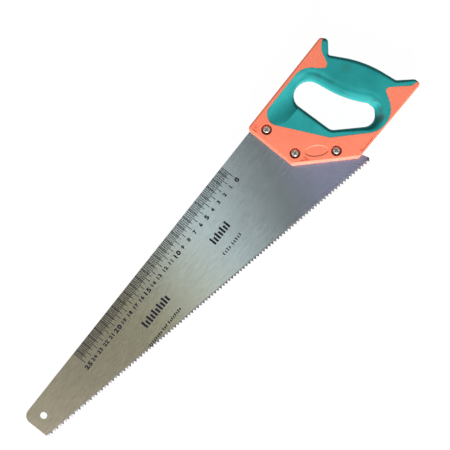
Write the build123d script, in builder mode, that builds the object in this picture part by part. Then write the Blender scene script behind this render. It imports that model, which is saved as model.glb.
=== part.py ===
from build123d import *

import os
from math import atan2, cos, sin

# Hand saw lying on its side. +X runs along the blade's back from the toe to the handle,
# +Y points from the teeth to the back, +Z is up. Sizes are in millimetres.
# The outlines are drawn on the plane "saw": its origin is where the handle's front edge
# crosses the blade's back edge, at the middle of the blade's thickness.

# ---- driving dimensions -------------------------------------------------------------------
blade_reach = 384.8          # from the handle's front edge to the toe
blade_thickness = 0.9
toe_depth = 34.9             # blade width at the toe, measured to the tooth tips
heel_depth = 116.0           # blade width at the last tooth
heel_tip_x = 52.5            # last tooth, behind the handle's front edge
toe_corner_radius = 8.8
hang_hole_radius = 3.65
hang_hole = (-369.4, -16.2)

tooth_pitch = 3.95
tooth_count = 113
tooth_height = 3.0
gullet_flat = 0.25           # height of the flat left at the bottom of each gullet
fleam_inset = 0.17           # share by which a tooth is smaller on its inner side
set_angle = 5.0              # lean of each tooth away from the blade, in degrees

handle_length = 146.2        # from the front edge to the tip of the lower horn
handle_top = 3.4             # the handle's top edge stands this far above the blade's back
cheek_half = 11.0            # half of the handle's thickness at the cheeks
grip_half = 15.0             # half of the thickness at the palm swell
rim_bevel_width = 1.4        # narrow bevel round the core's rim, measured on the cheek
rim_bevel_depth = 0.5
edge_bevel_width = 3.0       # wider bevels along the front edge and the 45 degree edge
front_bevel_depth = 0.9
mitre_bevel_depth = 1.4
bevel_overrun = 5.0          # the wider bevels run out past the ends of their edges
grip_bevel_width = 3.0       # bevel round the grip's rim
grip_bevel_depth = 1.4
opening_round = 4.5

skeleton_half = 5.5          # hard core under the soft grip
skeleton_inset = 3.0         # soft material's thickness round the skeleton's rim
slot_clearance = 0.05        # each side of the blade

groove_width = 23.0          # index-finger groove along the top of the grip
groove_depth = 3.8
groove_centre = (33.0, -11.7)
groove_length = 50.0

screw_places = [(12.7, -12.2), (11.9, -50.1), (40.4, -81.5)]
blade_hole_clearance = 0.15   # added to the barrel's radius
core_hole_clearance = 0.1
counterbore_radius = 5.4
counterbore_depth = 4.5
counterbore_rim = 0.4        # chamfer round the counterbore's mouth
head_radius = 3.9
head_height = 2.7
head_round = 1.6
recess_span = 4.6            # cross recess of the screw
recess_width = 1.0
recess_depth = 1.8
recess_taper = 14.0
thread_radius = 1.98
thread_depth = 0.22
thread_pitch = 0.7
thread_turns = 14
washer_thickness = 0.9
washer_outer_radius = 3.8
washer_inner_radius = 2.1
washer_gap = 0.8
barrel_radius = 2.75
barrel_bore_radius = 2.03
barrel_gap = 1.4             # between the barrel's end and the screw's washer
flange_radius = 4.9
flange_thickness = 2.0
flange_round = 0.8
driver_slot_width = 1.2
driver_slot_depth = 1.1

mark_depth = 0.6             # moulded marks on the cheeks
mark_width = 1.0
diamond_width = 2.7
badge_centre = (27.4, -65.8)
badge_length = 24.8
badge_width = 11.8
badge_depth = 0.5
badge_slope = 0.8            # width of the sloping wall round the badge's floor

mark_bars = [                # centre, length and angle
    ((4.4, -3.0), 5.4, 90),
    ((10.9, -60.5), 3.2, -45),
    ((14.6, -64.3), 3.4, -45),
    ((56.8, -101.3), 2.8, 90),
    ((64.9, -102.2), 16.2, 0),
]
mark_diamonds = [((8.2, -2.0), 45), ((14.7, -61.2), 0)]

# ---- outlines: (x, y, corner radius) on the saw plane --------------------------------------
chamfer_start = 56.0         # the 45 degree marking edge starts this far below the back
handle_corners = [
    (0, -chamfer_start, 3.3),
    (0, 0.2, 3.3),
    (3.2, handle_top, 3.3),
    (118.8, handle_top, 3.3),
    (123.8, -3.5, 4.5),
    (110.9, -14.4, 2.0),
    (128.7, -47.0, 115.0),
    (133.6, -84.0, 3.5),
    (handle_length, -98.4, 4.0),
    (handle_length, -105.8, 3.5),
    (48.2, -chamfer_start - 48.2, 3.3),
]
opening_corners = [
    (50.9, -9.7, 13.6),
    (53.0, -64.5, 10.5),
    (84.8, -97.2, 11.8),
    (98.0, -85.6, 6.0),
    (98.4, -77.0, 4.0),
    (86.8, -56.3, 118.0),
    (79.1, -9.6, 16.2),
]
grip_corners = [
    (13.7, -0.4, 11.7),
    (46.6, -68.3, 1.5),
    (98.5, -119.4, 24.0),
    (120.1, -78.5, 4.3),
    (138.6, -99.7, 5.2),
    (150.0, -103.1, 0),
    (150.0, 3.5, 0),
    (125.0, 3.5, 0),
    (110.2, -4.6, 18.3),
    (100.7, -24.7, 4.2),
    (85.0, -0.6, 20.8),
]
swell_centre = (109.5, -51.0)
swell_tilt = 16.0
swell_sections = [(0.0, 18.0, 33.0), (2.4, 14.0, 27.0), (4.0, 7.0, 16.0)]

# ---- places worked out from the driving dimensions -----------------------------------------
x_centre = (handle_length - blade_reach) / 2
y_centre = (handle_top - heel_depth) / 2
saw = Plane(origin=(-x_centre, -y_centre, grip_half))

tooth_line_angle = atan2(heel_depth - toe_depth, blade_reach + heel_tip_x)
toeward = Vector(-cos(tooth_line_angle), sin(tooth_line_angle), 0)
backward = Vector(sin(tooth_line_angle), cos(tooth_line_angle), 0)
heel_tip = Vector(heel_tip_x, -heel_depth, 0)
root_start = heel_tip + backward * (tooth_height - gullet_flat) - toeward * tooth_pitch / 2
root_length = (root_start.X + blade_reach) / cos(tooth_line_angle)
root_end = root_start + toeward * root_length

blade_corners = [
    (-blade_reach, 0, toe_corner_radius),
    (20.0, 0, 2.0),
    (20.0, -20.0, 4.0),
    (43.0, -70.0, 6.0),
    (55.5, -112.0, 0.8),
    (root_start.X, root_start.Y, 0),
    (root_end.X, root_end.Y, 0),
]
slot_margin = 0.4
slot_corners = [
    (-1.0, slot_margin, 0),
    (20.0 + slot_margin, slot_margin, 2.0),
    (20.0 + slot_margin, -20.0, 4.0),
    (43.0 + slot_margin, -70.0, 6.0),
    (53.0 + slot_margin, -103.6, 0),
    (54.0 + slot_margin, -107.0, 0),
    (-1.0, -107.0, 0),
]


def outline(corners):
    """Closed line through the corners, each rounded to its own radius."""
    points = [(x, y) for x, y, radius in corners]
    return FilletPolyline(points, radius=[radius for x, y, radius in corners], close=True)


# ---- sketches that several pieces share ----------------------------------------------------
with BuildSketch(saw) as handle_shape:
    with BuildLine():
        outline(handle_corners)
    make_face()

with BuildSketch(saw) as opening_shape:
    with BuildLine():
        outline(opening_corners)
    make_face()

with BuildSketch(saw) as grip_region:
    with BuildLine():
        outline(grip_corners)
    make_face()

with BuildSketch(saw) as skeleton_shape:
    add(handle_shape.sketch_local)
    offset(amount=-skeleton_inset)
    offset(opening_shape.sketch_local, amount=skeleton_inset, mode=Mode.SUBTRACT)

os.makedirs("parts", exist_ok=True)

# ---- blade ---------------------------------------------------------------------------------
# One tooth: its outer side is a full triangle, its inner side a smaller one, as a file held
# at an angle leaves it, and it leans outwards by the set angle.
inner_share = 1 - fleam_inset
with BuildPart() as tooth:
    with BuildSketch(Plane.XY.offset(blade_thickness / 2)):
        Polygon(
            (-tooth_pitch / 2, 0),
            (tooth_pitch / 2, 0),
            (0, tooth_height),
            align=None,
        )
    with BuildSketch(Plane.XY.offset(-blade_thickness / 2)):
        Polygon(
            (-tooth_pitch / 2 * inner_share, 0),
            (tooth_pitch / 2 * inner_share, 0),
            (0, tooth_height * inner_share),
            align=None,
        )
    loft(ruled=True)

tooth_places = []
for index in range(tooth_count):
    side = 1 if index % 2 else -1
    foot = heel_tip + backward * tooth_height + toeward * tooth_pitch * index
    across = Plane(
        origin=saw.from_local_coords(foot),
        x_dir=toeward * side,
        z_dir=(0, 0, side),
    )
    tooth_places.append(across.location * Rotation(set_angle, 0, 0))

with BuildPart() as blade:
    with BuildSketch(saw):
        with BuildLine():
            outline(blade_corners)
        make_face()
        with Locations(hang_hole):
            Circle(hang_hole_radius, mode=Mode.SUBTRACT)
        with Locations(*screw_places):
            Circle(barrel_radius + blade_hole_clearance, mode=Mode.SUBTRACT)
    extrude(amount=blade_thickness / 2, both=True)
    with Locations(*tooth_places):
        add(tooth.part)

blade.part.label = "blade"
export_step(blade.part, "parts/blade.step")

# ---- hard core of the handle ---------------------------------------------------------------
front_top = saw.from_local_coords((0, handle_top))
front_bottom = saw.from_local_coords(handle_corners[0][:2])
lower_front = saw.from_local_coords(handle_corners[-1][:2])
with BuildPart() as handle_core:
    extrude(handle_shape.sketch, amount=cheek_half, both=True)
    for cheek_face in (handle_core.faces().sort_by(Axis.Z)[-1], handle_core.faces().sort_by(Axis.Z)[0]):
        chamfer(cheek_face.edges(), rim_bevel_width, rim_bevel_depth, reference=cheek_face)
    for start, end, depth in (
        (front_bottom, front_top, front_bevel_depth),
        (lower_front, front_bottom, mitre_bevel_depth),
    ):
        run = (end - start).normalized()
        for side in (-1, 1):
            across_edge = Plane(
                origin=(start + end) / 2 + Vector(0, 0, side * cheek_half),
                x_dir=run.rotate(Axis.Z, 90),
                z_dir=run,
            )
            with BuildSketch(across_edge):
                Polygon(
                    (-edge_bevel_width, 0),
                    (edge_bevel_width, -side * depth * 2),
                    (edge_bevel_width, side * depth),
                    (-edge_bevel_width, side * depth),
                    align=None,
                )
            extrude(amount=(end - start).length / 2 + bevel_overrun, both=True, mode=Mode.SUBTRACT)
    extrude(grip_region.sketch, amount=cheek_half + 1, both=True, mode=Mode.SUBTRACT)
    extrude(skeleton_shape.sketch, amount=skeleton_half, both=True)
    with BuildSketch(saw):
        with BuildLine():
            outline(slot_corners)
        make_face()
    extrude(amount=blade_thickness / 2 + slot_clearance, both=True, mode=Mode.SUBTRACT)
    # screw holes, counterbored from both cheeks
    with BuildSketch(saw):
        with Locations(*screw_places):
            Circle(barrel_radius + core_hole_clearance)
    extrude(amount=cheek_half, both=True, mode=Mode.SUBTRACT)
    for side in (-1, 1):
        cheek = saw.offset(side * cheek_half)
        with BuildSketch(cheek):
            with Locations(*screw_places):
                Circle(counterbore_radius)
        extrude(amount=-side * counterbore_depth, mode=Mode.SUBTRACT)
        for place in screw_places:
            with BuildSketch(cheek):
                with Locations(place):
                    Circle(counterbore_radius + counterbore_rim)
            with BuildSketch(cheek.offset(-side * counterbore_rim)):
                with Locations(place):
                    Circle(counterbore_radius)
            loft(mode=Mode.SUBTRACT)
        # oval recess with a sloping wall
        with BuildSketch(cheek):
            with Locations(Location(badge_centre, -45)):
                Ellipse(badge_length / 2, badge_width / 2)
        with BuildSketch(cheek.offset(-side * badge_depth)):
            with Locations(Location(badge_centre, -45)):
                Ellipse(badge_length / 2 - badge_slope, badge_width / 2 - badge_slope)
        loft(mode=Mode.SUBTRACT)
        # marks for the 90 degree, 45 degree and ruler edges
        with BuildSketch(cheek):
            for centre, length, angle in mark_bars:
                with Locations(Location(centre, angle)):
                    Rectangle(length, mark_width)
            for centre, angle in mark_diamonds:
                with Locations(Location(centre, angle)):
                    Rectangle(diamond_width, diamond_width)
                    Rectangle(diamond_width - mark_width, diamond_width - mark_width, mode=Mode.SUBTRACT)
        extrude(amount=-side * mark_depth, mode=Mode.SUBTRACT)

handle_core.part.label = "handle_core"
export_step(handle_core.part, "parts/handle_core.step")

# ---- soft grip, moulded over the core --------------------------------------------------------
groove_radius = ((groove_width / 2) ** 2 + groove_depth**2) / (2 * groove_depth)
groove_axis = Plane(
    origin=saw.from_local_coords(
        (groove_centre[0], groove_centre[1], cheek_half - groove_depth + groove_radius)
    ),
    z_dir=(1, 0, 0),
)
with BuildPart() as finger_groove:
    with Locations(groove_axis.location):
        Sphere(groove_radius)
        Cylinder(groove_radius, groove_length, align=(Align.CENTER, Align.CENTER, Align.MIN))
    mirror(about=saw)

with BuildPart() as palm_swell:
    for rise, half_width, half_height in swell_sections:
        with BuildSketch(saw.offset(cheek_half + rise)):
            with Locations(Location(swell_centre, swell_tilt)):
                Ellipse(half_width, half_height)
    loft()
    mirror(about=saw)

with BuildPart() as soft_grip:
    extrude(handle_shape.sketch - opening_shape.sketch, amount=cheek_half, both=True)
    for face in (soft_grip.faces().sort_by(Axis.Z)[-1], soft_grip.faces().sort_by(Axis.Z)[0]):
        rim_edges = face.outer_wire().edges()
        opening_edges = face.inner_wires()[0].edges()
        chamfer(rim_edges, grip_bevel_width, grip_bevel_depth, reference=face)
        fillet(opening_edges, opening_round)
    add(palm_swell.part)
    extrude(grip_region.sketch, amount=grip_half + 1, both=True, mode=Mode.INTERSECT)
    add(finger_groove.part, mode=Mode.SUBTRACT)
    add(handle_core.part, mode=Mode.SUBTRACT)

soft_grip.part.label = "soft_grip"
export_step(soft_grip.part, "parts/soft_grip.step")

# ---- fasteners: screw, lock washer and sleeve nut at each hole -------------------------------
barrel_length = 2 * (cheek_half - counterbore_depth) - barrel_gap
thread_root = thread_radius - thread_depth
thread_profile = []
for turn in range(thread_turns):
    top = -turn * thread_pitch
    thread_profile.append((thread_root, top))
    thread_profile.append((thread_radius, top - thread_pitch / 2))
thread_end = -thread_turns * thread_pitch

for number, place in enumerate(screw_places, start=1):
    seat = saw.from_local_coords((place[0], place[1], cheek_half - counterbore_depth))
    under_head = Plane(seat).offset(washer_thickness)

    with BuildPart() as screw:
        with BuildSketch(under_head):
            Circle(head_radius)
        extrude(amount=head_height)
        fillet(screw.edges().sort_by(Axis.Z)[-1], head_round)
        with BuildSketch(under_head.offset(head_height)):
            Rectangle(recess_span, recess_width)
            Rectangle(recess_width, recess_span)
        extrude(amount=-recess_depth, taper=recess_taper, mode=Mode.SUBTRACT)
        with BuildSketch(Plane(under_head.origin, x_dir=(1, 0, 0), z_dir=(0, -1, 0))):
            with BuildLine():
                Polyline(
                    (0, 0),
                    *thread_profile,
                    (thread_root, thread_end),
                    (0, thread_end),
                    close=True,
                )
            make_face()
        revolve(axis=Axis(under_head.origin, (0, 0, 1)))
    screw.part.label = f"blade_screw_{number}"
    export_step(screw.part, f"parts/blade_screw_{number}.step")

    with BuildPart() as lock_washer:
        with BuildSketch(Plane(seat)):
            Circle(washer_outer_radius)
            Circle(washer_inner_radius, mode=Mode.SUBTRACT)
            with Locations(((washer_inner_radius + washer_outer_radius) / 2, 0)):
                Rectangle(washer_outer_radius, washer_gap, rotation=20, mode=Mode.SUBTRACT)
        extrude(amount=washer_thickness)
    lock_washer.part.label = f"lock_washer_{number}"
    export_step(lock_washer.part, f"parts/lock_washer_{number}.step")

    nut_seat = saw.from_local_coords((place[0], place[1], counterbore_depth - cheek_half))
    with BuildPart() as sleeve_nut:
        with BuildSketch(Plane(nut_seat)):
            Circle(flange_radius)
        extrude(amount=-flange_thickness)
        fillet(sleeve_nut.edges().sort_by(Axis.Z)[0], flange_round)
        with BuildSketch(Plane(nut_seat)):
            Circle(barrel_radius)
        extrude(amount=barrel_length)
        with BuildSketch(Plane(nut_seat).offset(-flange_thickness)):
            Rectangle(2 * flange_radius, driver_slot_width)
        extrude(amount=driver_slot_depth, mode=Mode.SUBTRACT)
        with BuildSketch(Plane(nut_seat)):
            Circle(barrel_bore_radius)
        extrude(amount=barrel_length, mode=Mode.SUBTRACT)
    sleeve_nut.part.label = f"sleeve_nut_{number}"
    export_step(sleeve_nut.part, f"parts/sleeve_nut_{number}.step")
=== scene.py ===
from math import atan2, cos, pi, radians, sin

import bmesh
import bpy
import numpy as np
from mathutils import Matrix, Vector


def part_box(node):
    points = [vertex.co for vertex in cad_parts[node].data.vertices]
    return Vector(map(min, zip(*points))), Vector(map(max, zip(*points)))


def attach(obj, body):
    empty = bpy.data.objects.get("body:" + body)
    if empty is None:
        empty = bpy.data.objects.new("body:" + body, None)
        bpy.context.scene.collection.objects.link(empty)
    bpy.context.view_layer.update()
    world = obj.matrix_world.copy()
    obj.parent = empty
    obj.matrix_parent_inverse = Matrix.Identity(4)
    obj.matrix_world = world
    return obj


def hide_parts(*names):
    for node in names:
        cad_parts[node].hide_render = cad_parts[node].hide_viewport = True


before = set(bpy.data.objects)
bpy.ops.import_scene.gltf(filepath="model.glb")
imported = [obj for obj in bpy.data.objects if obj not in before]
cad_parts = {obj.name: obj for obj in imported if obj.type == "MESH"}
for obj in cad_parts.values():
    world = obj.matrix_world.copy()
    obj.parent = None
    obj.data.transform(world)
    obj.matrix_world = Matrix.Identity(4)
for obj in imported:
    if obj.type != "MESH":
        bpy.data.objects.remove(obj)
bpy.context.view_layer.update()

# A hand saw lying on its side on a pale floor. The CAD blade, handle core and fasteners stay and get
# detailed materials; the soft grip is sculpted here, and the blade's ink print is added.
# Blender works in metres. Outlines are in millimetres on the saw's own plane: x = 0 at the handle's
# front edge, y = 0 at the blade's back edge, z = 0 at the middle of the blade's thickness.

MM = 0.001
core_low, core_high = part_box("handle_core")
blade_low, blade_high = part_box("blade")
front_x = core_low.x
back_y = blade_high.y
middle_z = (core_low.z + core_high.z) / 2
cheek_half = (core_high.z - core_low.z) / 2 / MM
blade_reach = (front_x - blade_low.x) / MM
heel_depth = (back_y - blade_low.y) / MM
blade_half = 0.45            # half of the blade's thickness
toe_depth = 34.9             # the blade's width at the toe, to the tooth tips
heel_tip_x = 52.5            # tip of the last tooth
tooth_height = 3.0
tooth_angle = atan2(heel_depth - toe_depth, blade_reach + heel_tip_x)


def place(x, y, z=0.0):
    """A point on the saw's plane, in millimetres, as a place in the row frame, in metres."""
    return Vector((front_x + x * MM, back_y + y * MM, middle_z + z * MM))


# ---- outlines: (x, y, corner radius) -------------------------------------------------------------
handle_corners = [
    (0, -56.0, 3.3),
    (0, 0.2, 3.3),
    (3.2, 3.4, 3.3),
    (118.8, 3.4, 3.3),
    (123.8, -3.5, 4.5),
    (110.9, -14.4, 2.0),
    (128.7, -47.0, 115.0),
    (133.6, -84.0, 3.5),
    (146.2, -98.4, 4.0),
    (146.2, -105.8, 3.5),
    (48.2, -104.2, 3.3),
]
opening_corners = [
    (79.1, -9.6, 16.2),
    (86.8, -56.3, 118.0),
    (98.4, -77.0, 4.0),
    (98.0, -85.6, 6.0),
    (84.8, -97.2, 11.8),
    (53.0, -64.5, 10.5),
    (50.9, -9.7, 13.6),
]
grip_corners = [
    (13.7, -0.4, 11.7),
    (46.6, -68.3, 1.5),
    (98.5, -119.4, 24.0),
    (120.1, -78.5, 4.3),
    (138.6, -99.7, 5.2),
    (150.0, -103.1, 0),
    (150.0, 3.5, 0),
    (125.0, 3.5, 0),
    (110.2, -4.6, 18.3),
    (100.7, -24.7, 4.2),
    (85.0, -0.6, 20.8),
]
# Pairs of points, one on the opening's rim and one on the handle's, that the grip's mesh joins.
rim_pairs = [
    ((65.0, -9.1), (65.0, 3.4)),
    ((54.0, -14.0), (14.0, 3.4)),
    ((50.8, -22.0), (0.0, -12.0)),
    ((52.3, -58.0), (0.0, -52.0)),
    ((55.5, -68.0), (14.0, -70.0)),
    ((77.0, -89.5), (50.0, -104.2)),
    ((84.0, -92.6), (78.0, -104.7)),
    ((92.0, -90.0), (112.0, -105.3)),
    ((98.0, -83.0), (146.0, -103.0)),
    ((98.0, -77.0), (135.0, -86.2)),
    ((86.5, -50.0), (127.5, -46.0)),
    ((81.6, -24.0), (112.0, -18.5)),
    ((79.0, -17.0), (120.0, 1.5)),
    ((72.0, -10.8), (88.0, 3.4)),
]
search_points = 4000         # places tried along a path to find the nearest to a point


def rounded_outline(corners, step=0.5):
    """Evenly spaced points round a closed outline whose corners are rounded to their own radii."""
    path = []
    count = len(corners)
    for index, (x, y, radius) in enumerate(corners):
        corner = np.array((x, y), float)
        before = np.array(corners[index - 1][:2], float) - corner
        after = np.array(corners[(index + 1) % count][:2], float) - corner
        before /= np.linalg.norm(before)
        after /= np.linalg.norm(after)
        if radius == 0:
            path.append(corner)
            continue
        opening_angle = np.arccos(np.clip(before @ after, -1, 1))
        bisector = (before + after) / np.linalg.norm(before + after)
        centre = corner + bisector * radius / np.sin(opening_angle / 2)
        start = corner + before * radius / np.tan(opening_angle / 2) - centre
        end = corner + after * radius / np.tan(opening_angle / 2) - centre
        turn = np.arctan2(start[0] * end[1] - start[1] * end[0], start @ end)
        for share in np.linspace(0, 1, max(4, int(abs(turn) * radius / step) + 2)):
            c, s = np.cos(turn * share), np.sin(turn * share)
            turned = (c * start[0] - s * start[1], s * start[0] + c * start[1])
            path.append(centre + np.array(turned))
    return np.array(path)


def run_lengths(path):
    """Distance along a closed path to each of its points, and all the way round."""
    steps = np.linalg.norm(np.diff(np.vstack([path, path[:1]]), axis=0), axis=1)
    return np.concatenate([[0], np.cumsum(steps)])


def along(path, distances):
    """Points at the given distances along a closed path."""
    runs = run_lengths(path)
    closed = np.vstack([path, path[:1]])
    wrapped = np.mod(distances, runs[-1])
    return np.stack([np.interp(wrapped, runs, closed[:, k]) for k in (0, 1)], axis=1)


def nearest_run(path, point):
    """Distance along a closed path to its nearest place to a point."""
    fine = np.linspace(0, run_lengths(path)[-1], search_points, endpoint=False)
    gaps = np.linalg.norm(along(path, fine) - np.array(point, float), axis=1)
    return fine[int(np.argmin(gaps))]


def distance_to(path, points):
    """Shortest distance from each point to a closed path."""
    start = path
    span = np.roll(path, -1, axis=0) - start
    length_squared = np.maximum((span**2).sum(1), 1e-12)
    nearest = np.full(len(points), 1e9)
    for a, b, c in zip(start, span, length_squared):
        share = np.clip(((points - a) @ b) / c, 0, 1)
        gaps = np.linalg.norm(points - a - share[:, None] * b, axis=1)
        nearest = np.minimum(nearest, gaps)
    return nearest


def new_object(name, mesh, slot=None):
    """Adds a mesh or a text to the scene. With a slot, it becomes a piece of the saw."""
    piece = bpy.data.objects.new(name, mesh)
    bpy.context.scene.collection.objects.link(piece)
    if slot:
        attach(piece, "root")
    return piece


# ---- materials -----------------------------------------------------------------------------------
# colours, as linear red, green and blue
ORANGE_LIGHT = (0.90, 0.245, 0.150)
ORANGE_DEEP = (0.85, 0.222, 0.134)
TEAL_LIGHT = (0.017, 0.322, 0.328)
TEAL_DEEP = (0.011, 0.268, 0.273)
STEEL_WARM_REFLECTION = (0.74, 0.69, 0.53)
STEEL_COOL_REFLECTION = (0.69, 0.765, 0.865)
STEEL_VIOLET_REFLECTION = (0.68, 0.71, 0.98)
TEETH_TOE_REFLECTION = (0.32, 0.30, 0.335)
TEETH_HEEL_REFLECTION = (0.90, 0.86, 0.98)
DIRT_AND_PAINTED_SHADE = (0.050, 0.070, 0.062)
RUST = (0.09, 0.045, 0.02)
STAIN = (0.36, 0.17, 0.05)
ZINC = (0.68, 0.67, 0.63)
ZINC_DARK = (0.40, 0.39, 0.36)
SPRING_STEEL = (0.34, 0.34, 0.35)
INK = (0.006, 0.007, 0.016)
INK_WORN = (0.05, 0.05, 0.06)
FLOOR_DEEP = (0.020, 0.020, 0.020)
FLOOR_PALE = (0.024, 0.024, 0.024)

# centre, radius and strength of darker patches: dirt from handling, and painted shade in the bowl at the
# opening's foot and along the opening's rim and creases
dirt_and_painted_shade_patches = [
    (94.5, -95.0, 6.0, 0.85),
    (100.5, -90.0, 4.0, 0.55),
    (88.0, -19.0, 4.5, 0.35),
    (92.5, -33.0, 4.0, 0.22),
    (104.0, -80.0, 3.5, 0.30),
    (112.0, -37.0, 6.0, 0.28),
    (50.0, -34.0, 5.0, 0.35),
    (92.0, -7.0, 5.0, 0.18),
]


def start_material(name, **settings):
    """A new material and its Principled shader, with plain socket values set by name."""
    material = bpy.data.materials.new(name)
    material.use_nodes = True
    shader = material.node_tree.nodes["Principled BSDF"]
    for socket, value in settings.items():
        shader.inputs[socket.replace("_", " ")].default_value = value
    return material, shader


def add_node(material, kind, settings=None, **sockets):
    """Adds a node. Plain values are set and other nodes' sockets are linked, each given by the name
    of its socket, or as i0, i1 and so on by the socket's number."""
    tree = material.node_tree
    node = tree.nodes.new(kind)
    for key, value in (settings or {}).items():
        setattr(node, key, value)
    for name, value in sockets.items():
        numbered = name[0] == "i" and name[1:].isdigit()
        socket = node.inputs[int(name[1:]) if numbered else name]
        if isinstance(value, bpy.types.NodeSocket):
            tree.links.new(value, socket)
        else:
            socket.default_value = value
    return node


def link(material, source, target):
    """Links one node's output to another's input."""
    material.node_tree.links.new(source, target)


def object_coordinates(material):
    """The piece's own coordinates, in metres."""
    return add_node(material, "ShaderNodeTexCoord").outputs["Object"]


def stretched_coordinates(material, scale):
    """The piece's own coordinates, scaled along each axis."""
    node = add_node(
        material, "ShaderNodeMapping", Vector=object_coordinates(material), Scale=scale
    )
    return node.outputs["Vector"]


def noise(material, scale, detail=4.0, stretch=(1, 1, 1), roughness=0.55):
    """Noise value from 0 to 1 in the piece's coordinates."""
    node = add_node(
        material,
        "ShaderNodeTexNoise",
        Vector=stretched_coordinates(material, stretch),
        Scale=scale,
        Detail=detail,
        Roughness=roughness,
    )
    return node.outputs["Fac"]


def remap(material, value, low, high, to_low, to_high):
    """Linear map of a value from one range to another, clamped."""
    limits = {"i1": low, "i2": high, "i3": to_low, "i4": to_high}
    return add_node(material, "ShaderNodeMapRange", i0=value, **limits).outputs[0]


def spread(material, value, low, high):
    """Linear map of a noise value, which is mostly between 0.3 and 0.7, to a range."""
    return remap(material, value, 0.3, 0.7, low, high)


def mix_colour(material, share, first, second, how="MIX"):
    """Blend of two colours, each a socket or a plain (r, g, b)."""
    node = add_node(material, "ShaderNodeMix", {"data_type": "RGBA", "blend_type": how})
    for number, value in ((0, share), (6, first), (7, second)):
        if isinstance(value, bpy.types.NodeSocket):
            link(material, value, node.inputs[number])
        else:
            node.inputs[number].default_value = (*value, 1) if hasattr(value, "__len__") else value
    return node.outputs[2]


def tone(material, colour, shade):
    """A colour made lighter or darker by a factor."""
    return mix_colour(material, 1.0, colour, shade, "MULTIPLY")


def arithmetic(material, how, first, second):
    """One number from two, by a named operation."""
    return add_node(material, "ShaderNodeMath", {"operation": how}, i0=first, i1=second).outputs[0]


def add_share(material, value, extra, share):
    """A value with a share of another one added."""
    return arithmetic(material, "ADD", value, arithmetic(material, "MULTIPLY", extra, share))


def vector_value(material, how, first, second):
    """One number from two vectors, such as their distance."""
    node = add_node(material, "ShaderNodeVectorMath", {"operation": how}, i0=first, i1=second)
    return node.outputs["Value"]


def bump(material, shader, height, strength, distance):
    """Gives the shader a relief."""
    node = add_node(material, "ShaderNodeBump", Height=height, Strength=strength, Distance=distance)
    link(material, node.outputs["Normal"], shader.inputs["Normal"])


def hard_plastic_material():
    """Orange moulded plastic: faint flow marks and a fine spark texture, with light that passes a
    little way under its surface."""
    material, shader = start_material(
        "orange_plastic",
        Specular_IOR_Level=0.28,
        Subsurface_Weight=0.35,
        Subsurface_Radius=(1.0, 0.30, 0.15),
        Subsurface_Scale=0.0016,
    )
    flow = noise(material, 28, 3, (1, 1, 0.4))
    grain = noise(material, 2600, 3)
    colour = mix_colour(material, remap(material, flow, 0.35, 0.7, 0, 1), ORANGE_DEEP, ORANGE_LIGHT)
    speckle = spread(material, grain, 0.94, 1.03)
    link(material, tone(material, colour, speckle), shader.inputs["Base Color"])
    rough = spread(material, noise(material, 900, 4), 0.46, 0.58)
    link(material, rough, shader.inputs["Roughness"])
    bump(material, shader, grain, 0.15, 0.00005)
    return material


def soft_rubber_material():
    """Teal overmoulded rubber: matt, mottled by handling, with a fine pebbled texture."""
    material, shader = start_material("teal_rubber", Roughness=0.62, Specular_IOR_Level=0.22)
    handled = noise(material, 38, 5, (1, 1, 1), 0.6)
    pebble = noise(material, 1500, 2)
    colour = mix_colour(material, remap(material, handled, 0.35, 0.68, 0, 1), TEAL_DEEP, TEAL_LIGHT)
    mottled = tone(material, colour, spread(material, pebble, 0.92, 1.04))
    coordinates = object_coordinates(material)
    # darken the patches: part dirt, part painted shade where the grip's hollows and creases fall into
    # shadow
    for x, y, radius, strength in dirt_and_painted_shade_patches:
        away = vector_value(material, "DISTANCE", coordinates, place(x, y, cheek_half))
        ragged = add_share(material, away, handled, radius * MM)
        share = remap(material, ragged, radius * MM * 0.6, radius * MM * 1.7, strength, 0)
        mottled = mix_colour(material, share, mottled, DIRT_AND_PAINTED_SHADE)
    link(material, mottled, shader.inputs["Base Color"])
    rough = spread(material, handled, 0.55, 0.72)
    link(material, rough, shader.inputs["Roughness"])
    bump(material, shader, pebble, 0.3, 0.00008)
    return material


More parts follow.
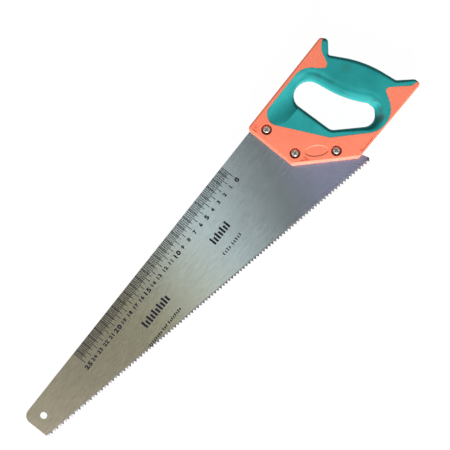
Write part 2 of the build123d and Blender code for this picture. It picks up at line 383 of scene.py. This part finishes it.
def blade_material():
    """Brushed steel: fine grain along the blade, a painted reflection that is warm at the toe and violet
    at the heel, ground teeth whose change from dark at the toe to near-white at the heel is painted
    reflection too, a brown stain on the heel's corner and a few dark specks."""
    material, shader = start_material("brushed_blade", Metallic=1.0, Anisotropic=0.7)
    coordinates = object_coordinates(material)
    split = add_node(material, "ShaderNodeSeparateXYZ", Vector=coordinates)

    long_grain = noise(material, 1.0, 5, (110, 1300, 400), 0.65)
    broad_grain = noise(material, 1.0, 3, (34, 330, 60), 0.5)
    clouds = noise(material, 22, 4, (0.6, 1.3, 1))
    # the tint is a painted reflection of the surroundings: warm at the toe, cool along the middle
    warm_end, cool_start = blade_low.x + 0.168, front_x - 0.106
    reflection_coolness = remap(material, split.outputs["X"], warm_end, cool_start, 0, 1)
    reflection_tint = mix_colour(material, reflection_coolness, STEEL_WARM_REFLECTION, STEEL_COOL_REFLECTION)
    # painted reflection: near the handle the tint darkens towards a slanting line through the handle's
    # top corner and turns violet past it
    slant = 0.5
    slanted = add_share(material, split.outputs["X"], split.outputs["Y"], -slant)
    line = front_x - slant * back_y
    reflection_tint = tone(material, reflection_tint, remap(material, slanted, line - 0.040, line + 0.002, 1.0, 0.83))
    near_handle = remap(material, slanted, line + 0.004, line + 0.050, 0, 1)
    reflection_tint = mix_colour(material, near_handle, reflection_tint, STEEL_VIOLET_REFLECTION)
    grain = add_share(material, long_grain, broad_grain, 0.2)
    grain_low, grain_high = 0.38, 0.82
    brushed = tone(material, reflection_tint, remap(material, grain, grain_low, grain_high, 0.83, 1.14))
    cloudy = tone(material, brushed, spread(material, clouds, 0.97, 1.03))

    # the ground teeth, up to their height above the line of their tips; their colour running from dark
    # at the toe to near-white at the heel is a painted reflection
    tip = place(heel_tip_x, -heel_depth)
    square_to_line = (sin(tooth_angle), cos(tooth_angle), 0)
    across = vector_value(material, "DOT_PRODUCT", coordinates, square_to_line)
    tip_level = tip.x * sin(tooth_angle) + tip.y * cos(tooth_angle)
    ground_end, steel_start = tooth_height * MM, (tooth_height + 0.5) * MM
    ground = remap(material, across, tip_level + ground_end, tip_level + steel_start, 1, 0)
    heelward = remap(material, split.outputs["X"], front_x - 0.080, front_x - 0.020, 0, 1)
    ground_reflection_tint = mix_colour(material, heelward, TEETH_TOE_REFLECTION, TEETH_HEEL_REFLECTION)
    toothed = mix_colour(material, ground, cloudy, ground_reflection_tint)

    # the stain on the heel's corner, and the specks
    away = vector_value(material, "DISTANCE", coordinates, place(54.5, -113.0))
    ragged = add_share(material, away, clouds, 0.002)
    stain = remap(material, ragged, 0.0018, 0.0044, 0.9, 0)
    stained = mix_colour(material, stain, toothed, STAIN)
    cells = add_node(
        material,
        "ShaderNodeTexVoronoi",
        Vector=stretched_coordinates(material, (1, 2.2, 1)),
        Scale=34,
        Randomness=1.0,
    ).outputs["Distance"]
    speck = remap(material, cells, 0.018, 0.034, 0.55, 0)
    final = mix_colour(material, speck, stained, RUST)
    link(material, final, shader.inputs["Base Color"])

    grain_rough = remap(material, grain, grain_low, grain_high, 0.24, 0.26)
    link(material, add_share(material, grain_rough, ground, 0.12), shader.inputs["Roughness"])
    # highlights stretch across the brushing, which runs along the blade
    highlight_run = add_node(material, "ShaderNodeCombineXYZ", X=0.0, Y=1.0, Z=0.2)
    link(material, highlight_run.outputs[0], shader.inputs["Tangent"])
    bump(material, shader, grain, 0.02, 0.000002)
    return material


def plated_material(name, colour, dark, rough):
    """A small steel part's finish: cloudy, darker in random patches, with fine scratches."""
    material, shader = start_material(name, Metallic=0.55, Roughness=rough)
    clouds = noise(material, 420, 4)
    scratches = noise(material, 1.0, 4, (900, 5200, 900))
    tinted = mix_colour(material, remap(material, clouds, 0.35, 0.7, 0, 1), dark, colour)
    worn = tone(material, tinted, spread(material, scratches, 0.85, 1.08))
    link(material, worn, shader.inputs["Base Color"])
    uneven = spread(material, clouds, rough - 0.08, rough + 0.1)
    link(material, uneven, shader.inputs["Roughness"])
    bump(material, shader, scratches, 0.2, 0.00004)
    return material


def ink_material():
    """Black printing ink, slightly worn so that steel shows through in pinholes."""
    material, shader = start_material("blade_ink", Roughness=0.7, Specular_IOR_Level=0.15)
    wear = noise(material, 1800, 4)
    colour = mix_colour(material, remap(material, wear, 0.60, 0.74, 0, 0.8), INK, INK_WORN)
    link(material, colour, shader.inputs["Base Color"])
    bump(material, shader, wear, 0.2, 0.00002)
    return material


def floor_material():
    """Floor that its own glow makes pale, like paper on a light table, so shadows on it stay faint."""
    material, shader = start_material("pale_floor", Roughness=0.9, Emission_Strength=0.985)
    soft = noise(material, 3, 2)
    colour = mix_colour(material, soft, FLOOR_DEEP, FLOOR_PALE)
    link(material, colour, shader.inputs["Base Color"])
    shader.inputs["Emission Color"].default_value = (1.0, 1.0, 1.0, 1.0)
    return material


# ---- soft grip -----------------------------------------------------------------------------------
skin_gap = 0.05              # the grip's skin stays this far inside the handle's outline
flush_drop = 0.12            # and this far below the cheeks at the seam
palm_height = 2.0            # the palm's crest above the cheek,
palm_middle = -54.0          # highest at this distance below the blade's back edge
palm_half_length = 44.0
palm_fall = 31.0             # from the crest, the palm falls to the cheek over this width
palm_start = (76.0, 90.0)    # and it rises over this stretch behind the opening
slope_width = 8.4            # the opening's rear side is a wide slope up to the palm's crest,
slope_start = (68.0, 82.0)
slope_depths = (1.3, 2.0)    # deeper in its lower half
slope_change = (-48.0, -62.0)
rear_start = (60.0, 72.0)    # slope and crease are on the rear side only,
rear_foot = (-94.0, -80.0)   # and end above the bowl at the opening's foot
groove_line = -12.4          # middle of the finger groove, below the blade's back edge
groove_fade = (66.0, 84.0)
groove_widening = (18.0, 38.0)
groove_half_widths = (7.8, 11.6)
groove_depth = 3.6
groove_least = 0.01          # depth kept where it starts, since a flat groove has no radius
groove_run = 40.0            # it deepens over this distance from the front seam
crease_depth = 0.30          # shallow crease along the top of the slope,
crease_top = (-42.0, -26.0)  # twice as deep at its upper end
crease_spread = 1.8
crease_span = (66.0, 86.0)   # over this stretch it moves away from the opening's rim
crease_distance = (2.6, 9.0)
region_margin = 0.3          # the grip runs this far under the core before the core is cut away
region_half = 20.0           # half of the cutting block's height
sharp_angle = radians(40)    # edges that turn by more stay sharp

# rounding of the opening's rim at each of rim_pairs: width, depth and how straight it is cut
opening_rounds = [
    (2.6, 3.6, 0.0), (3.4, 4.2, 0.0), (3.6, 4.8, 0.0), (3.6, 4.8, 0.0), (3.0, 4.8, 0.0),
    (4.2, 5.4, 0.0), (8.4, 7.5, 0.1), (8.8, 7.0, 0.7), (7.0, 6.5, 0.6), (2.4, 4.5, 0.0),
    (2.2, 4.5, 0.0), (2.2, 4.2, 0.0), (2.2, 4.0, 0.0), (2.4, 3.8, 0.0),
]
# the handle's own rim: bevelled as on the core, fuller behind the palm
bevel = (1.4, 0.5, 1.0)
palm_rounds = [(3.4, 3.6, 0.0), (4.2, 4.2, 0.0), (3.4, 3.6, 0.0), (3.0, 2.4, 0.4)]
rim_rounds = [bevel] * 9 + palm_rounds + [bevel]
outline_step = 0.4
run_smoothing = 220          # smoothing passes for the columns' places along the rims
round_smoothing = 60         # and for the roundings
ring_columns = 720
skin_rows = 46
round_rows = 9
wall_rows = 3


def smooth_round(values, passes):
    """Smooths a list that closes on itself."""
    for _ in range(passes):
        values = (np.roll(values, 1, axis=0) + 2 * values + np.roll(values, -1, axis=0)) / 4
    return values


def bell(t):
    """1 at t = 0, falling smoothly to 0 at t = 1 and staying there."""
    return np.where(np.abs(t) < 1, (1 - t**2) ** 2, 0.0)


def ease_in(t):
    """0 up to t = 0 and 1 from t = 1, with a smooth step between."""
    t = np.clip(t, 0, 1)
    return t * t * (3 - 2 * t)


def ease_over(value, stretch):
    """0 before a stretch and 1 past it, with a smooth step between."""
    return ease_in((value - stretch[0]) / (stretch[1] - stretch[0]))


def palm_and_slope(x, y, from_opening):
    """Height above the cheek: the wide slope on the opening's rear side, and the palm behind it."""
    rear = ease_over(x, rear_start) * ease_over(y, rear_foot)
    length = bell((y - palm_middle) / palm_half_length)
    behind = np.clip(1 - (from_opening - crease_distance[1]) / palm_fall, 0, 1)
    palm = palm_height * length * behind * ease_over(x, palm_start)
    lower_half = ease_over(y, slope_change)
    slope_depth = slope_depths[0] + (slope_depths[1] - slope_depths[0]) * lower_half
    slope = slope_depth * (1 - ease_in(from_opening / slope_width)) * ease_over(x, slope_start) * rear
    share = np.clip((x - crease_span[0]) / (crease_span[1] - crease_span[0]), 0, 1)
    middle = crease_distance[0] + (crease_distance[1] - crease_distance[0]) * share
    section = np.exp(-(((from_opening - middle) / crease_spread) ** 2) / 2)
    crease = crease_depth * (1 + ease_over(y, crease_top)) * rear * section
    return palm - slope - crease


def groove(x, y):
    """The index finger's groove: a scoop that deepens towards the opening, round in section."""
    (top_x, top_y, _), (foot_x, foot_y, _) = grip_corners[:2]
    past_seam = x - top_x - (top_y - y) * (foot_x - top_x) / (top_y - foot_y)
    deepening = np.sin(np.clip(past_seam / groove_run, 0, 1) * pi / 2)
    depth = np.maximum(groove_depth * deepening, groove_least)
    narrow, wide = groove_half_widths
    half_width = narrow + (wide - narrow) * ease_over(x, groove_widening)
    radius = (half_width**2 + depth**2) / (2 * depth)
    away = np.minimum(np.abs(y - groove_line), half_width)
    drop = np.sqrt(radius**2 - away**2) - (radius - depth)
    return drop * (1 - ease_over(x, groove_fade))


def skin_height(points):
    """Height of the grip's skin above the middle plane."""
    x, y = points[:, 0], points[:, 1]
    from_opening = distance_to(rounded_outline(opening_corners), points)
    return cheek_half - flush_drop + palm_and_slope(x, y, from_opening) - groove(x, y)


def joined_runs(path, spots):
    """A closed path, turned so that the spots follow each other forwards along it, its length, the
    distances along it to the spots, and the steps between those."""
    length = run_lengths(path)[-1]
    runs = np.array([nearest_run(path, spot) for spot in spots])
    if np.mod(runs[1] - runs[0], length) > length / 2:
        path = path[::-1]
        runs = np.array([nearest_run(path, spot) for spot in spots])
    return path, length, runs, np.mod(np.diff(np.append(runs, runs[0])), length)


def column_runs(knots, length, runs, steps):
    """Distance along a rim for each column, smoothed between the knots."""
    columns = np.arange(ring_columns)
    run = np.interp(columns, knots, runs[0] + np.concatenate([[0], np.cumsum(steps)]))
    uneven = run - runs[0] - columns * length / ring_columns
    return run + (smooth_round(uneven, run_smoothing) - uneven)


def side_normals(path, runs, side):
    """Unit vectors square to a path, to its left for side 1 and to its right for side -1."""
    ahead = along(path, runs + outline_step) - along(path, runs - outline_step)
    ahead /= np.linalg.norm(ahead, axis=1)[:, None]
    return np.stack([-ahead[:, 1], ahead[:, 0]], axis=1) * side


def column_rounds(knots, rounds):
    """The rounding of a rim at each column, spread smoothly between the knots."""
    closed = np.array(rounds + rounds[:1], float)
    columns = np.arange(ring_columns)
    spread = np.stack([np.interp(columns, knots, closed[:, k]) for k in (0, 1, 2)], axis=1)
    return smooth_round(spread, round_smoothing)


def rounded_row(path, normal, rounding, edge, angle):
    """One row of a rounded rim: angle 0 is on the side wall and a right angle on the skin."""
    straight = rounding[:, 2]
    share = angle / (pi / 2)
    inward = (1 - cos(angle)) * (1 - straight) + share * straight
    drop = rounding[:, 1] * ((1 - sin(angle)) * (1 - straight) + (1 - share) * straight)
    spot = path + normal * (rounding[:, 0] * inward)[:, None]
    ease = sin(angle) ** 2
    return spot, skin_height(spot) * ease + (edge + rounding[:, 1]) * (1 - ease) - drop


def ring_faces(row_count):
    """Quads of a ring whose rows close on themselves, as its columns do."""
    faces = []
    for row in range(row_count):
        for column in range(ring_columns):
            here, below = row * ring_columns, (row + 1) % row_count * ring_columns
            ahead = (column + 1) % ring_columns
            faces.append((here + column, below + column, below + ahead, here + ahead))
    return faces


def grip_ring():
    """Closed ring round the hand opening, out to the handle's rim, as (points, faces) in millimetres."""
    opening, opening_length, inner_runs, inner_steps = joined_runs(
        rounded_outline(opening_corners, outline_step), [inner for inner, outer in rim_pairs]
    )
    rim, rim_length, outer_runs, outer_steps = joined_runs(
        rounded_outline(handle_corners, outline_step), [outer for inner, outer in rim_pairs]
    )
    # columns are shared between the inner and the outer rim's lengths
    shares = inner_steps / opening_length + outer_steps / rim_length
    knots = np.concatenate([[0], np.cumsum(shares)])
    knots *= ring_columns / knots[-1]
    inner_run = column_runs(knots, opening_length, inner_runs, inner_steps)
    outer_run = column_runs(knots, rim_length, outer_runs, outer_steps)
    inner = along(opening, inner_run)
    outer = along(rim, outer_run)
    area = np.cross(inner, np.roll(inner, -1, axis=0)).sum()
    turning = 1 if area > 0 else -1
    inner_normal = side_normals(opening, inner_run, -turning)
    outer_normal = side_normals(rim, outer_run, turning)
    outer = outer + outer_normal * skin_gap

    inner_round = column_rounds(knots, opening_rounds)
    outer_round = column_rounds(knots, rim_rounds)
    inner_shoulder = inner + inner_normal * inner_round[:, :1]
    outer_shoulder = outer + outer_normal * outer_round[:, :1]
    inner_edge = skin_height(inner_shoulder) - inner_round[:, 1]
    outer_edge = skin_height(outer_shoulder) - outer_round[:, 1]

    # rows from the middle plane up the opening's wall, over the skin and down the handle's wall
    rows = []
    quarter = np.linspace(0, pi / 2, round_rows)
    for share in np.linspace(0, 1, wall_rows, endpoint=False):
        rows.append((inner, inner_edge * share))
    for angle in quarter:
        rows.append(rounded_row(inner, inner_normal, inner_round, inner_edge, angle))
    for share in np.linspace(0, 1, skin_rows + 2)[1:-1]:
        spot = inner_shoulder * (1 - share) + outer_shoulder * share
        rows.append((spot, skin_height(spot)))
    for angle in quarter[::-1]:
        rows.append(rounded_row(outer, outer_normal, outer_round, outer_edge, angle))
    for share in np.linspace(1, 0, wall_rows, endpoint=False)[1:]:
        rows.append((outer, outer_edge * share))
    rows.append((outer, np.zeros(ring_columns)))
    mirrored = [(spot, -height) for spot, height in rows[-2:0:-1]]
    loop = rows + mirrored
    points = np.concatenate([np.column_stack([spot, height]) for spot, height in loop])
    return points, ring_faces(len(loop))


def mesh_from(name, points, faces):
    """Mesh with outward normals from points in millimetres on the saw's plane."""
    mesh = bpy.data.meshes.new(name)
    mesh.from_pydata([place(*p) for p in points], [], faces)
    shape = bmesh.new()
    shape.from_mesh(mesh)
    bmesh.ops.recalc_face_normals(shape, faces=shape.faces)
    shape.to_mesh(mesh)
    shape.free()
    return mesh


def prism(name, path, low, high):
    """Closed prism over a closed path, in millimetres."""
    count = len(path)
    points = [(x, y, z) for z in (low, high) for x, y in path]
    faces = [tuple(range(count)), tuple(range(count, 2 * count))]
    for index in range(count):
        ahead = (index + 1) % count
        faces.append((index, ahead, count + ahead, count + index))
    return mesh_from(name, points, faces)


def evaluated_mesh(piece):
    """The piece's mesh as its modifiers or its text make it."""
    bpy.context.view_layer.update()
    graph = bpy.context.evaluated_depsgraph_get()
    return bpy.data.meshes.new_from_object(piece.evaluated_get(graph))


def cut_with(piece, cutter, how):
    """Applies an exact boolean to the piece."""
    modifier = piece.modifiers.new(how.lower(), "BOOLEAN")
    modifier.operation = how
    modifier.solver = "EXACT"
    modifier.object = cutter
    result = evaluated_mesh(piece)
    piece.modifiers.clear()
    piece.data = result


def make_grip(material):
    """The grip, trimmed to its seams with the core, in place of the plain CAD one."""
    points, faces = grip_ring()
    grip = new_object("grip_sculpted", mesh_from("grip_sculpted", points, faces), "soft_rubber")
    region = rounded_outline(grip_corners, outline_step)
    ahead = np.roll(region, -1, axis=0) - np.roll(region, 1, axis=0)
    ahead /= np.linalg.norm(ahead, axis=1)[:, None]
    outward = np.stack([ahead[:, 1], -ahead[:, 0]], axis=1)
    if np.cross(region, np.roll(region, -1, axis=0)).sum() < 0:
        outward = -outward
    block = prism("region_block", region + outward * region_margin, -region_half, region_half)
    region_block = new_object("region_block", block)
    cut_with(grip, region_block, "INTERSECT")
    bpy.data.objects.remove(region_block)
    core_copy = new_object("core_copy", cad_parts["handle_core"].data.copy())
    cut_with(grip, core_copy, "DIFFERENCE")
    bpy.data.objects.remove(core_copy)
    grip.data.materials.clear()
    grip.data.materials.append(material)
    grip.data.shade_smooth()
    grip.data.set_sharp_from_angle(angle=sharp_angle)
    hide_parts("soft_grip")


# ---- print on the blade --------------------------------------------------------------------------
ink_low = blade_half - 0.02
ink_high = blade_half + 0.03
ruler_zero = -47.1           # the ruler's zero, from the handle's front edge
ruler_marks = 250
mark_start = -0.15           # the marks start this far below the blade's back edge
# length and width of the marks at every tenth, fifth, second and single millimetre
mark_sizes = {10: (15.9, 0.72), 5: (13.4, 0.64), 2: (10.4, 0.70), 1: (10.4, 0.12)}
# for the small numbers and for the bold ones at every fifth centimetre
number_lines = (-22.1, -22.7)
number_sizes = (5.3, 6.7)
number_widths = (1.12, 1.22)
stroke_swell = (0.27, 0.33)  # ink added round each stroke
weld_distance = 0.002        # points of a number that are closer than this are joined
group_gap = 0.6              # extra gap between an ornament's groups, as a share of the pitch


def add_block(shape, corners):
    """Adds a closed block of ink over four corners, in millimetres."""
    rings = [[shape.verts.new(place(x, y, z)) for x, y in corners] for z in (ink_low, ink_high)]
    shape.faces.new(rings[0][::-1])
    shape.faces.new(rings[1])
    for index in range(len(corners)):
        ahead = (index + 1) % len(corners)
        shape.faces.new((rings[0][index], rings[0][ahead], rings[1][ahead], rings[1][index]))


def finish_print(name, shape, material):
    """Turns a finished shape into an inked piece that rides with the blade."""
    bmesh.ops.recalc_face_normals(shape, faces=shape.faces)
    mesh = bpy.data.meshes.new(name)
    shape.to_mesh(mesh)
    shape.free()
    mesh.materials.append(material)
    new_object(name, mesh, "blade_steel")


def make_ruler(material):
    """The ruler's marks, a millimetre apart, as one piece."""
    shape = bmesh.new()
    for mark in range(ruler_marks + 1):
        x = ruler_zero - mark
        length, width = next(mark_sizes[size] for size in mark_sizes if mark % size == 0)
        left, right = x - width / 2, x + width / 2
        corners = [(left, -length), (right, -length), (right, mark_start), (left, mark_start)]
        add_block(shape, corners)
    finish_print("ruler_marks", shape, material)


def make_number(number, material):
    """One printed number under its centimetre mark, bold at every fifth."""
    bold = int(number % 5 == 0)
    text = bpy.data.curves.new(f"number_{number}", "FONT")
    text.body = str(number)
    text.size = number_sizes[bold] * MM
    text.offset = stroke_swell[bold] * MM
    text.space_character = 1.25
    text.align_x = "CENTER"
    text.extrude = (ink_high - ink_low) / 2 * MM
    text.resolution_u = 3
    holder = new_object(f"number_{number}", text)
    mesh = evaluated_mesh(holder)
    bpy.data.objects.remove(holder)
    spot = place(ruler_zero - 10 * number, number_lines[bold], (ink_low + ink_high) / 2)
    mesh.transform(Matrix.Translation(spot) @ Matrix.Diagonal((number_widths[bold], 1, 1, 1)))
    shape = bmesh.new()
    shape.from_mesh(mesh)
    bmesh.ops.remove_doubles(shape, verts=shape.verts, dist=weld_distance * MM)
    finish_print(f"ruler_number_{number}", shape, material)


def make_bars(name, material, left, foot, pitch, fill, heights, groups):
    """An ornament: groups of upright bars, each as wide as its share of the pitch, whose heights
    repeat within a group."""
    shape = bmesh.new()
    x = left
    for group in groups:
        for index in range(group):
            right, top = x + pitch * fill, foot + heights[index % len(heights)]
            add_block(shape, [(x, foot), (right, foot), (right, top), (x, top)])
            x += pitch
        x += pitch * group_gap
    finish_print(name, shape, material)


# ---- build the saw -------------------------------------------------------------------------------
def dress(node, material):
    """Gives a CAD node its material."""
    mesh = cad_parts[node].data
    mesh.materials.clear()
    mesh.materials.append(material)


ink = ink_material()
dress("blade", blade_material())
dress("handle_core", hard_plastic_material())
screw_finish = plated_material("zinc_screw_finish", ZINC, ZINC_DARK, 0.42)
nut_finish = plated_material("zinc_nut_finish", ZINC, ZINC_DARK, 0.38)
washer_finish = plated_material("spring_washer_finish", SPRING_STEEL, RUST, 0.45)
for number in (1, 2, 3):
    dress(f"blade_screw_{number}", screw_finish)
    dress(f"sleeve_nut_{number}", nut_finish)
    dress(f"lock_washer_{number}", washer_finish)
make_grip(soft_rubber_material())
make_ruler(ink)
for centimetre in range(ruler_marks // 10 + 1):
    make_number(centimetre, ink)
# name, left end, foot, pitch, share of the pitch that is inked, bar heights and groups
ornaments = [
    ("blade_ornament_heel", -114.0, -45.4, 3.85, 0.60, (8.6, 6.4), (7,)),
    ("blade_ornament_toe", -227.4, -44.2, 4.1, 0.60, (8.6, 6.4), (10,)),
    ("blade_blocks_heel", -116.2, -59.9, 3.05, 0.42, (3.5, 3.0), (4, 5)),
    ("blade_blocks_toe", -240.4, -59.5, 2.6, 0.56, (3.1, 2.5), (8, 3, 8)),
]
for name, *layout in ornaments:
    make_bars(name, ink, *layout)


# ---- floor, light and camera ---------------------------------------------------------------------
def make_floor():
    """A wide square just below the saw."""
    half = 6.0
    level = -0.0005
    shape = bmesh.new()
    corners = [(-half, -half), (half, -half), (half, half), (-half, half)]
    shape.faces.new([shape.verts.new((x, y, level)) for x, y in corners])
    mesh = bpy.data.meshes.new("floor")
    shape.to_mesh(mesh)
    shape.free()
    mesh.materials.append(floor_material())
    floor = bpy.data.objects.new("floor", mesh)
    bpy.context.scene.collection.objects.link(floor)


def add_softbox(name, spot, aim, size, power, colour, lean):
    """A rectangular area light that faces a point, leaned about its own line of sight."""
    light = bpy.data.lights.new(name, "AREA")
    light.shape = "RECTANGLE"
    light.size, light.size_y = size
    light.energy = power
    light.color = colour
    lamp = bpy.data.objects.new(name, light)
    lamp.location = spot
    facing = (Vector(aim) - Vector(spot)).to_track_quat("-Z", "Y").to_matrix()
    lamp.rotation_euler = (facing @ Matrix.Rotation(lean, 3, "Z")).to_euler()
    lamp.visible_camera = False
    bpy.context.scene.collection.objects.link(lamp)


def set_world(colour, strength):
    """Even light from all round."""
    world = bpy.data.worlds.new("studio")
    world.use_nodes = True
    background = world.node_tree.nodes["Background"]
    background.inputs["Color"].default_value = (*colour, 1)
    background.inputs["Strength"].default_value = strength
    bpy.context.scene.world = world


def make_camera(spot, target, roll, lens):
    """A camera that looks at the target, rolled about its line of sight."""
    data = bpy.data.cameras.new("camera")
    data.lens = lens
    data.sensor_width = 36.0
    data.clip_end = 50.0
    camera = bpy.data.objects.new("camera", data)
    camera.location = spot
    look = Vector(target) - Vector(spot)
    right = look.cross(Vector((0, 1, 0))).normalized()
    up = right.cross(look).normalized()
    upright = Matrix((right, up, -look.normalized())).transposed()
    camera.rotation_euler = (upright @ Matrix.Rotation(roll, 3, "Z")).to_euler()
    bpy.context.scene.collection.objects.link(camera)
    bpy.context.scene.camera = camera


make_floor()
set_world((1.0, 0.97, 0.90), 0.136)
# place, aim, size, power and colour: the key light comes low from the front left, and the other two
# mirror in the blade, one over its length and one at the heel
key_light = ((-0.90, -0.98, 0.80), (0.08, 0.0, 0.0), (0.5, 0.5), 60, (1.0, 0.98, 0.95))
blade_light = ((-0.172, 0.0, 1.43), (-0.172, 0.0, 0.0), (0.12, 1.2), 0.61, (0.88, 1.0, 0.88))
heel_light = ((0.139, -0.104, 1.43), (0.149, -0.039, 0.0), (0.10, 0.10), 0.055, (0.85, 0.90, 1.0))
add_softbox("key_softbox", *key_light, 0.0)
add_softbox("blade_softbox", *blade_light, radians(-25))
add_softbox("heel_softbox", *heel_light, 0.0)

camera_place = (0.15909, 0.02600, 1.41563)
camera_target = (0.02772, 0.01610, 0.015)
camera_roll = radians(-51.404)
camera_lens = 108.5
make_camera(camera_place, camera_target, camera_roll, camera_lens)
bpy.context.scene.view_settings.view_transform = "Standard"
